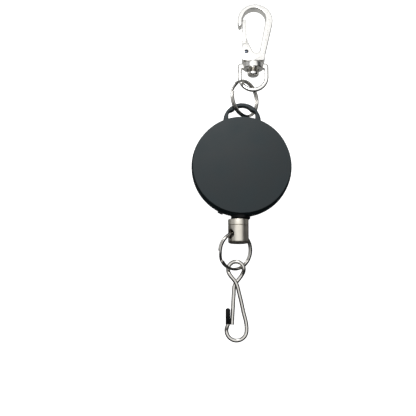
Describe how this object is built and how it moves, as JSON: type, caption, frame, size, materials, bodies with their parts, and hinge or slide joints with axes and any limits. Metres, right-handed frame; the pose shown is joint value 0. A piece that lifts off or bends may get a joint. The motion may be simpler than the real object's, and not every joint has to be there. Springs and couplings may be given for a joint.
{
  "type": "retractable badge reel",
  "caption": "Round spring-return cord reel with a lug, split ring and swivel snap hook at one end and a ferrule, split ring and wire hook on its cord.",
  "frame": {"origin": "centre of the case's flat back, on the reel's axis", "axes": "+Z out of the face plate along the reel's axis, +Y from the cord outlet to the lug and snap hook, +X to the right as the face is read"},
  "size_m": [0.0392, 0.1355, 0.0125],
  "materials": {
    "case_abs": "moulded, fine texture",
    "face_abs": "moulded, satin",
    "guide_nylon": "moulded",
    "acetal": "moulded",
    "nickel_plate": "bright nickel plate",
    "nickel_brushed": "turned, nickel plated",
    "steel": "zinc plated",
    "spring_steel": "blued strip",
    "cord_nylon": "braided"
  },
  "bodies": {
    "case": {"rear_cover": "case_abs", "front_cover": "case_abs", "face_plate": "face_abs", "cord_guide": "guide_nylon", "axle_sleeve": "steel", "axle_screw": "steel", "thrust_washer": "acetal", "power_spring": "spring_steel", "cord_lead": "cord_nylon"},
    "spool": {"spool_drum": "acetal", "spring_cover": "steel", "wound_cord": "cord_nylon"},
    "cord_end": {"cord_crimp": "steel"},
    "ferrule": {"ferrule_cap": "nickel_brushed", "ferrule_barrel": "nickel_brushed"},
    "lower_ring": {"lower_split_ring": "nickel_plate"},
    "wire_hook": {"wire_hook": "nickel_plate", "hook_tip": "guide_nylon"},
    "latch": {"hook_latch": "nickel_plate"},
    "upper_ring": {"upper_split_ring": "nickel_plate"},
    "swivel_eye": {"swivel_eye": "nickel_plate"},
    "snap_hook": {"snap_hook_body": "nickel_plate", "swivel_stud": "nickel_plate", "gate_pin": "steel", "gate_spring": "spring_steel"},
    "gate": {"gate": "nickel_plate"}
  },
  "joints": [
    {"name": "cord_pull", "type": "slide", "parent": "case", "child": "cord_end", "axis": [0, -1, 0], "range_m": [0, 0.6], "stiffness_N_per_m": 2.2, "springref_m": -0.55, "deforming": ["cord_lead"]},
    {"name": "spool_spin", "type": "hinge", "parent": "case", "child": "spool", "pos_m": [0, 0, 0.0047], "axis": [0, 0, 1], "range_deg": [0, 2820], "deforming": ["power_spring", "cord_lead"]},
    {"name": "ferrule_turn", "type": "hinge", "parent": "cord_end", "child": "ferrule", "pos_m": [-0.0013, -0.0226, 0.0057], "axis": [0, 1, 0], "continuous": true},
    {"name": "lower_ring_swing", "type": "hinge", "parent": "ferrule", "child": "lower_ring", "pos_m": [-0.0013, -0.0266, 0.0057], "axis": [0.8387, 0, -0.5446], "range_deg": [-80, 80]},
    {"name": "wire_hook_swing", "type": "hinge", "parent": "lower_ring", "child": "wire_hook", "pos_m": [-0.00285, -0.03989, 0.00391], "axis": [0.8425, 0.0515, -0.5363], "range_deg": [-20, 40]},
    {"name": "latch_flex", "type": "hinge", "parent": "wire_hook", "child": "latch", "pos_m": [-0.00283, -0.0463, 0.00211], "axis": [0, -0.1011, 0.9949], "range_deg": [0, 8], "stiffness_Nm_per_rad": 0.02, "springref_deg": -5.73},
    {"name": "upper_ring_swing", "type": "hinge", "parent": "case", "child": "upper_ring", "pos_m": [0.00024, 0.0242, 0.0074], "axis": [1, 0, 0], "range_deg": [-25, 85]},
    {"name": "swivel_eye_swing", "type": "hinge", "parent": "upper_ring", "child": "swivel_eye", "pos_m": [0.00272, 0.03446, 0.0053], "axis": [0.683, -0.2588, -0.683], "range_deg": [-50, 50]},
    {"name": "hook_swivel", "type": "hinge", "parent": "swivel_eye", "child": "snap_hook", "pos_m": [0.00495, 0.04206, 0.00422], "axis": [0, 0.9974, -0.0715], "continuous": true},
    {"name": "gate_open", "type": "hinge", "parent": "snap_hook", "child": "gate", "pos_m": [0.00223, 0.04705, 0.00386], "axis": [0, -0.0715, -0.9974], "range_deg": [0, 28], "stiffness_Nm_per_rad": 0.01, "springref_deg": -8.59, "deforming": ["gate_spring"]}
  ],
  "couplings": [
    {"joint": "spool_spin", "follows": "cord_pull", "rad_per_m": 81.3}
  ]
}
